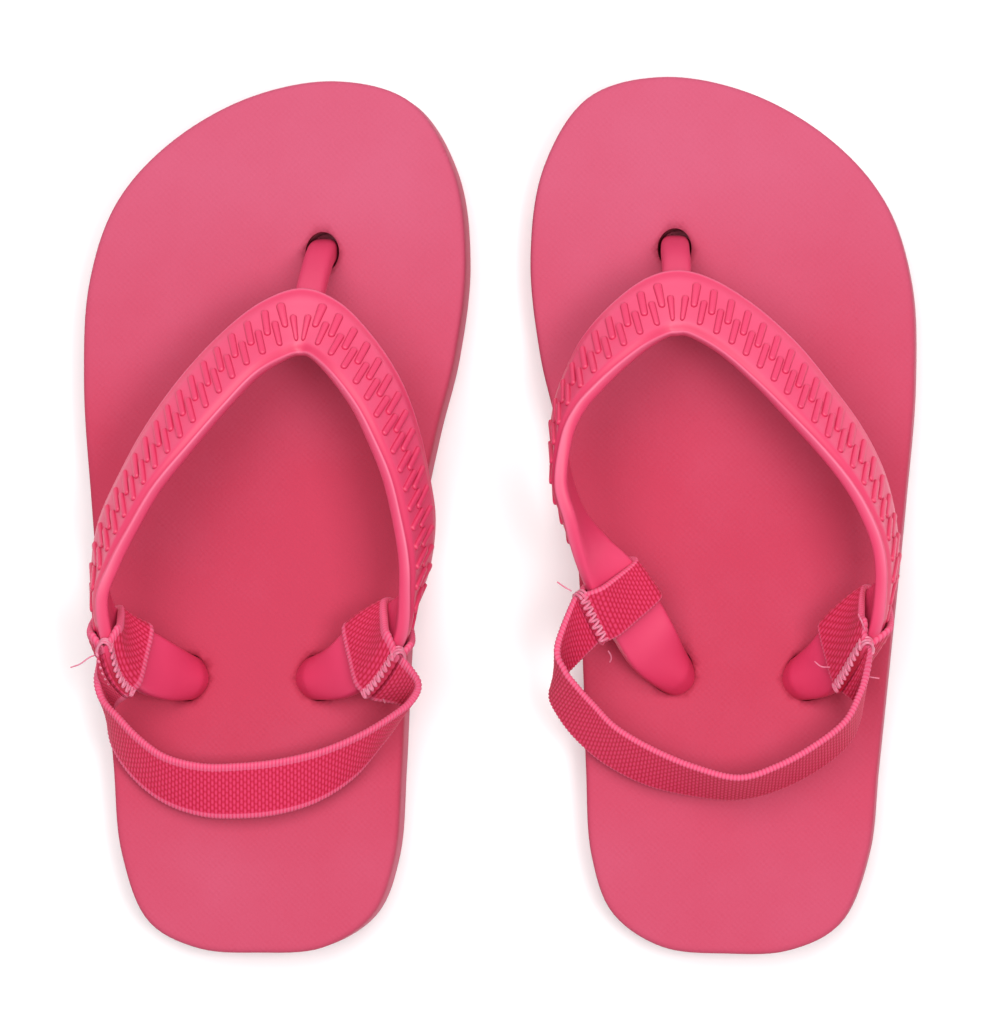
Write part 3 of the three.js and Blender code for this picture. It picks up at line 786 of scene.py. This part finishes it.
class Webbing:
    """A strip over three rails: its upper edge, its middle line and its lower edge."""

    def __init__(self, stations):
        self.rails = np.array(stations, float)
        last = len(self.rails) - 1
        self.fine = np.linspace(0, last, last * 30 + 1)
        middle = through(self.rails[:, 1], self.fine)
        steps = np.linalg.norm(np.diff(middle, axis=0), axis=1)
        self.run = np.concatenate([[0], np.cumsum(steps)])

    def length(self, station):
        return float(np.interp(station, self.fine, self.run))

    def places(self, stations, v):
        """Places on the strip at stations and widths, and its direction across itself there."""
        high, middle, low = (through(self.rails[:, k], stations)[:, None] for k in range(3))
        share = (2 * v / WEBBING["width"])[None, :, None]
        half, bow = (high - low) / 2, (high + low) / 2 - middle
        return middle + share * half + share**2 * bow, half + 2 * share * bow

    def strip(self, start, end, selvedge):
        """The woven strip between two stations, as a shell."""
        v, thick, edge = webbing_section(selvedge)
        step = WEBBING["column"] / COLUMN_SAMPLES
        first, last = (round(self.length(station) / step) for station in (start, end))
        lengths = np.arange(first, last + 1) * step
        stations = np.interp(lengths, self.run, self.fine)
        places, across = self.places(stations, v)
        ahead = self.places(stations + 0.02, v)[0] - self.places(stations - 0.02, v)[0]
        rise = weave(lengths[:, None], v[None, :], edge[None, :])
        height = thick[None, :] + np.sign(thick)[None, :] * WEBBING["relief"] * rise
        shell = Shell()
        # The weave's height also goes to the colour, as painted shade in the gaps and painted
        # highlights on the tops
        shell.loft(places + height[..., None] * unit(np.cross(across, ahead)), relief=rise,
                   selvedge=np.broadcast_to(edge, rise.shape).astype(float))
        return shell


def on_arm(ribbon, side, station, a, b):
    """A place on an arm, at a station counted from its own plug and a place in its section."""
    at = station if side == "lateral" else ribbon.last - station
    centre, across, out, width = (v[0] for v in ribbon.frames(np.array([at], float)))
    covered = np.clip(a, -STRAP_WIDTH / 2, STRAP_WIDTH / 2)
    return centre + (covered * width / STRAP_WIDTH + a - covered) * across + b * out


def loop_stations(foot, side, ribbon):
    """The webbing's stations from its sewn end, round the arm and back to the seam."""
    loop = LOOPS[foot, side]
    low, high = loop["seam"]
    rows = [(loop["across"] + a, loop["out"] + b, lip, high) for a, b, lip in INNER_END]
    rows += [(a, b, lip, loop["face"]) for a, b, lip in LOOP_COURSE]
    rows += [(loop["across"] + a, loop["out"] + b, lip, high) for a, b, lip in OUTER_END]
    return [[on_arm(ribbon, side, top, a, b + lip),
             on_arm(ribbon, side, (top + low) / 2, a, b + lip / 3),
             on_arm(ribbon, side, low, a, b)] for a, b, lip, top in rows]


def band_stations(band):
    """The band's stations, with both edges at the webbing's real width from its middle."""
    stations = []
    for row in band:
        upper, lower = (np.array(row[k:k + 3]) + (0, 0, FOOTBED_TOP) for k in (0, 3))
        middle, half = (upper + lower) / 2, unit(upper - lower) * WEBBING["width"] / 2
        stations.append([middle + half, middle, middle - half])
    return stations


def webbing(foot, ribbon, look):
    """One length of elastic: both loops, which ride with the shoe, and the band between them."""
    lateral = loop_stations(foot, "lateral", ribbon)
    medial = loop_stations(foot, "medial", ribbon)
    elastic = Webbing([*lateral, *band_stations(SHOES[foot]["band"]), *reversed(medial)])
    last = len(elastic.rails) - 1
    seams = {"lateral": len(lateral) - 1, "medial": last - len(medial) + 1}
    spans = {"loop_lateral": (0, seams["lateral"]), "loop_medial": (seams["medial"], last),
             "band": (seams["lateral"] - BAND_START, seams["medial"] + BAND_START)}
    nodes = {"loop_lateral": "heel_loop_lateral", "loop_medial": "heel_loop_medial",
             "band": "heel_band"}
    selvedge = WEBBING["selvedge"][foot]
    return {name: make_piece(foot, f"webbing_{name}", elastic.strip(*span, selvedge), look,
                             [nodes[name]])
            for name, span in spans.items()}


# Thread


def tube(shell, points, radius):
    """A thread along points, with a round section carried along without twist."""
    points = np.asarray(points, float)
    tangents = unit(np.gradient(points, axis=0))
    side = unit(np.cross(tangents[0], (0.3, 0.5, 0.81)))
    angle = np.linspace(0, 2 * math.pi, THREAD_SIDES, endpoint=False)
    rings = []
    for point, tangent in zip(points, tangents):
        side = unit(side - tangent * side.dot(tangent))
        up = np.cross(tangent, side)
        rings.append(point + radius * (np.cos(angle)[:, None] * side
                                       + np.sin(angle)[:, None] * up))
    shell.loft(rings)


def whipping(shell, side, ribbon, loop):
    """Turns of thread from face to face over the upper edge of a seam."""
    low, high = loop["seam"]
    for place in WHIPPING["places"]:
        points = []
        for turn in np.linspace(0, math.pi, 17):
            share = WHIPPING["start"] + WHIPPING["rise"] * math.sin(turn)
            station = high + (high - low) * share
            reach = WHIPPING["lift"] * math.cos(turn)
            points.append(on_arm(ribbon, side, station, loop["across"] + place,
                                 loop["out"] + reach))
        tube(shell, points, WHIPPING["radius"])


def bartack(foot, side, ribbon, look):
    """A dense zigzag over both faces of the two webbing layers, with its loose tails."""
    loop = LOOPS[foot, side]
    low, high = loop["seam"]
    seam = [on_arm(ribbon, side, station, loop["across"], loop["out"]) for station in (low, high)]
    count = 2 * round(np.linalg.norm(seam[1] - seam[0]) / BARTACK["pitch"]) + 1
    along = np.linspace(low + BARTACK["margin"], high - BARTACK["margin"], count)
    ends = np.where(np.arange(count) % 2 == 0, -BARTACK["reach"], BARTACK["reach"])
    shell = Shell()
    for face in (-1, 1):
        path = spaced(np.column_stack([along, ends, np.zeros(count)]), BARTACK["step"])
        points = [on_arm(ribbon, side, station, loop["across"] + a, loop["out"]
                         + face * (BARTACK["lift"] + BARTACK["arch"]
                                   * (1 - (a / BARTACK["reach"]) ** 2)))
                  for station, a, _ in path]
        tube(shell, points, BARTACK["radius"])
    whipping(shell, side, ribbon, loop)
    for tail in THREAD_TAILS[(foot, side)]:
        tube(shell, spaced(np.array(tail) + (0, 0, FOOTBED_TOP), TAIL["step"]), TAIL["radius"])
    return make_piece(foot, f"bartack_{side}", shell, look,
                      [f"stitching_{side}"])


# Materials


def linear(colour):
    channels = [c / 255 for c in colour]
    return (*(c / 12.92 if c <= 0.04045 else ((c + 0.055) / 1.055) ** 2.4 for c in channels), 1.0)


class Look:
    """A material built round one Principled shader."""

    def __init__(self, name, shade=SHADE, **settings):
        self.shade = shade
        self.material = bpy.data.materials.new(name)
        self.material.use_nodes = True
        self.tree = self.material.node_tree
        self.shader = self.tree.nodes["Principled BSDF"]
        for socket, value in settings.items():
            self.shader.inputs[socket.replace("_", " ")].default_value = value

    def add(self, kind, inputs=(), **properties):
        node = self.tree.nodes.new("ShaderNode" + kind)
        for key, value in properties.items():
            setattr(node, key, value)
        for key, value in dict(inputs).items():
            self.set(node.inputs[key], value)
        return node

    def set(self, socket, value):
        if isinstance(value, bpy.types.NodeSocket):
            self.tree.links.new(value, socket)
        else:
            socket.default_value = value

    def place(self):
        return self.add("TexCoord").outputs["Object"]

    def math(self, operation, first, second=0.0):
        return self.add("Math", {0: first, 1: second}, operation=operation).outputs[0]

    def noise(self, scale, detail=3.0, roughness=0.5):
        return self.add("TexNoise", {"Vector": self.place(), "Scale": scale, "Detail": detail,
                                     "Roughness": roughness}).outputs["Fac"]

    def mixed(self, share, first, second):
        node = self.add("Mix", data_type="RGBA")
        self.set(node.inputs["Factor"], share)
        self.set(node.inputs[6], first)
        self.set(node.inputs[7], second)
        return node.outputs[2]

    def ranged(self, value, low, high, out_low=0.0, out_high=1.0):
        return self.add("MapRange", {"Value": value, "From Min": low, "From Max": high,
                                     "To Min": out_low, "To Max": out_high}).outputs["Result"]

    def attribute(self, name):
        return self.add("Attribute", attribute_name=name).outputs["Fac"]

    def colour(self, value):
        """The base colour, shaded so that a white floor in the same light stays white."""
        shaded = self.add("Mix", data_type="RGBA", blend_type="MULTIPLY")
        self.set(shaded.inputs["Factor"], 1.0)
        self.set(shaded.inputs[6], value)
        self.set(shaded.inputs[7], (self.shade, self.shade, self.shade, 1.0))
        self.set(self.shader.inputs["Base Color"], shaded.outputs[2])

    def bump(self, height, distance, strength=1.0):
        node = self.add("Bump", {"Height": height, "Distance": distance, "Strength": strength})
        self.tree.links.new(node.outputs["Normal"], self.shader.inputs["Normal"])


def footbed_look():
    """Foam embossed with a fine diagonal weave, over its grain; painted light at the toes and the
    heel, and painted shade of the strap over the middle.
    """
    look = Look("footbed_foam", Roughness=0.75, Specular_IOR_Level=0.2)
    diagonal = look.add("Mapping", {"Vector": look.place(),
                                    "Rotation": (0, 0, math.radians(45))}).outputs[0]
    axes = look.add("SeparateXYZ", {0: diagonal})
    waves = [look.math("SINE", look.math("MULTIPLY", axes.outputs[k], 2 * math.pi / EMBOSS_PITCH))
             for k in (0, 1)]
    worn = look.ranged(look.noise(420, 3), 0.35, 0.7, 0.0, 0.5)
    emboss = look.math("MULTIPLY", look.math("ADD", waves[0], waves[1]), worn)
    height = look.math("ADD", emboss, look.math("MULTIPLY", look.noise(2300, 4, 0.65), 3.2))
    look.bump(height, 0.000035, 0.7)
    length = look.add("SeparateXYZ", {0: look.place()}).outputs["Y"]
    # Painted light: lighter towards the toes and the heel, leaving painted shade of the strap in the
    # middle
    painted_light_by_length = look.math("ADD", look.ranged(length, 0.005, 0.06, 0.0, 0.85),
                     look.ranged(length, -0.03, -0.065, 0.0, 0.45))
    uneven = look.ranged(look.noise(45, 3), 0.3, 0.7, -0.12, 0.12)
    grain = look.ranged(height, 0.4, 3.0, -0.1, 0.1)
    share = look.math("ADD", look.math("ADD", painted_light_by_length, uneven), grain)
    look.colour(look.mixed(look.ranged(share, 0.0, 1.0), linear(FOAM), linear(FOAM_PAINTED_LIGHT)))
    return look.material


def outsole_look():
    """Cut foam with fine pores."""
    look = Look("outsole_foam", Roughness=0.7, Specular_IOR_Level=0.25)
    pores = look.add("TexVoronoi", {"Vector": look.place(), "Scale": 1500.0}).outputs["Distance"]
    grain = look.noise(900, 4)
    look.bump(look.math("ADD", pores, look.math("MULTIPLY", grain, 0.8)), 0.00005, 0.7)
    look.colour(look.mixed(look.ranged(look.noise(60, 3), 0.3, 0.7, 0.1, 0.45),
                           linear(FOAM_SIDE), linear(FOAM)))
    return look.material


def strap_look():
    """Soft moulded PVC: painted shade at the feet of its bars, on its bevels and near the footbed;
    painted highlights along its rims and a painted sheen on its face.
    """
    look = Look("strap_pvc", shade=PLASTIC_SHADE, Roughness=0.46, Specular_IOR_Level=0.45,
                Coat_Weight=0.08, Coat_Roughness=0.4)
    look.bump(look.noise(1400, 3), 0.00002, 0.5)
    patches = look.ranged(look.noise(70, 2), 0.35, 0.65, -0.04, 0.04)
    light = look.math("ADD", look.attribute("relief"), patches)
    # Low values mix in painted shade, high values painted highlights and sheen
    low = look.mixed(look.ranged(light, -0.9, 0.3), linear(PVC_PAINTED_SHADE), linear(PVC))
    look.colour(look.mixed(look.ranged(light, 0.3, 1.3), low, linear(PVC_PAINTED_HIGHLIGHT)))
    return look.material


def webbing_look():
    """Woven elastic: painted shade in the gaps, painted highlights on the thread tops, and lighter
    edges whose rib tops carry painted highlights.
    """
    look = Look("elastic_webbing", shade=PLASTIC_SHADE, Roughness=0.75, Sheen_Weight=0.08,
                Sheen_Roughness=0.4, Specular_IOR_Level=0.3)
    fibres = look.add("TexNoise", {"Vector": look.place(), "Scale": 4200.0, "Detail": 3.0})
    look.bump(fibres.outputs["Fac"], 0.00005, 0.6)
    # The weave's height paints shade into the gaps and highlights onto the threads
    threads = look.mixed(look.ranged(look.attribute("relief"), 0.1, 0.9),
                         linear(WEB_GAP_PAINTED_SHADE), linear(WEB_THREAD))
    ribs = look.mixed(look.ranged(look.attribute("relief"), -0.3, 0.8),
                      linear(WEB_THREAD), linear(WEB_EDGE))
    edged = look.mixed(look.attribute("selvedge"), threads, ribs)
    look.colour(edged)
    return look.material


def thread_look():
    """Twisted polyester thread."""
    look = Look("sewing_thread", Roughness=0.55, Sheen_Weight=0.2)
    look.bump(look.noise(5200, 2), 0.00004, 0.6)
    look.colour(look.mixed(look.ranged(look.noise(1500, 2), 0.35, 0.65), linear(THREAD),
                           linear(WEB_EDGE)))
    return look.material


def floor_look():
    """White paper, barely uneven."""
    look = Look("studio_floor", shade=1.0, Roughness=0.9, Specular_IOR_Level=0.1)
    look.colour(look.mixed(look.ranged(look.noise(4, 2), 0.3, 0.7, 0.0, 0.1), linear(FLOOR),
                           linear(FLOOR_GREY)))
    return look.material


# Stage


def add_floor(look):
    corners = [(-1, -1), (1, -1), (1, 1), (-1, 1)]
    mesh = bpy.data.meshes.new("floor")
    mesh.from_pydata([(x * FLOOR_REACH, y * FLOOR_REACH, -FLOOR_DROP) for x, y in corners],
                     [], [(0, 1, 2, 3)])
    mesh.materials.append(look)
    floor = bpy.data.objects.new("floor", mesh)
    bpy.context.collection.objects.link(floor)


def facing(place, aim, up):
    """A placement at one point that looks at another."""
    back = (Vector(place) - Vector(aim)).normalized()
    right = Vector(up).cross(back).normalized()
    rotation = Matrix((right, back.cross(right), back)).transposed()
    return Matrix.Translation(place) @ rotation.to_4x4()


def add_light(name, place, size, power):
    data = bpy.data.lights.new(name, "AREA")
    data.shape = "SQUARE"
    data.size = size
    data.energy = power
    light = bpy.data.objects.new(name, data)
    light.matrix_world = facing(place, (0, 0, 0.01), (0, 1, 0.01))
    bpy.context.collection.objects.link(light)


def add_lights():
    for name, light in LIGHTS.items():
        add_light(name, **light)
    world = bpy.data.worlds.new("studio")
    world.use_nodes = True
    world.node_tree.nodes["Background"].inputs["Color"].default_value = (1, 1, 1, 1)
    world.node_tree.nodes["Background"].inputs["Strength"].default_value = SKY
    bpy.context.scene.world = world


def add_camera():
    data = bpy.data.cameras.new("camera")
    data.sensor_fit = "HORIZONTAL"
    data.sensor_width = CAMERA["sensor"]
    data.lens = CAMERA["lens"]
    data.clip_start = 0.01
    camera = bpy.data.objects.new("camera", data)
    camera.matrix_world = facing(CAMERA["place"], CAMERA["aim"], (0, 1, 0))
    bpy.context.collection.objects.link(camera)
    bpy.context.scene.camera = camera


# Assembly


def build_shoe(foot, looks):
    ribbon = strap_ribbon(SHOES[foot])
    body = f"{foot}_shoe"
    rigid = [
        outsole(foot, ribbon, looks["outsole"]),
        footbed(foot, ribbon, looks["footbed"]),
        thong_strap(foot, ribbon, looks["strap"]),
    ]
    elastic = webbing(foot, ribbon, looks["webbing"])
    band = elastic.pop("band")
    rigid.extend(elastic.values())
    rigid.extend(bartack(foot, side, ribbon, looks["thread"]) for side in ("lateral", "medial"))
    for piece in rigid:
        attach(piece, body)
    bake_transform(band)


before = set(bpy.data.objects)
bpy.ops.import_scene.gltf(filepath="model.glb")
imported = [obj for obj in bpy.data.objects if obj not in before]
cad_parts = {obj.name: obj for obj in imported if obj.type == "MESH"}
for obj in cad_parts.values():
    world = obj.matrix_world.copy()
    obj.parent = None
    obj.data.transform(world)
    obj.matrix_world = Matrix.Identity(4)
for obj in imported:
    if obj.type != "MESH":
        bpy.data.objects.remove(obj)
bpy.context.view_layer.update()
scene = bpy.context.scene
scene.view_settings.view_transform = "Standard"
scene.view_settings.look = "None"
add_camera()
add_lights()
add_floor(floor_look())
LOOKS = {"footbed": footbed_look(), "outsole": outsole_look(), "strap": strap_look(),
         "webbing": webbing_look(), "thread": thread_look()}
for foot_name in SHOES:
    build_shoe(foot_name, LOOKS)
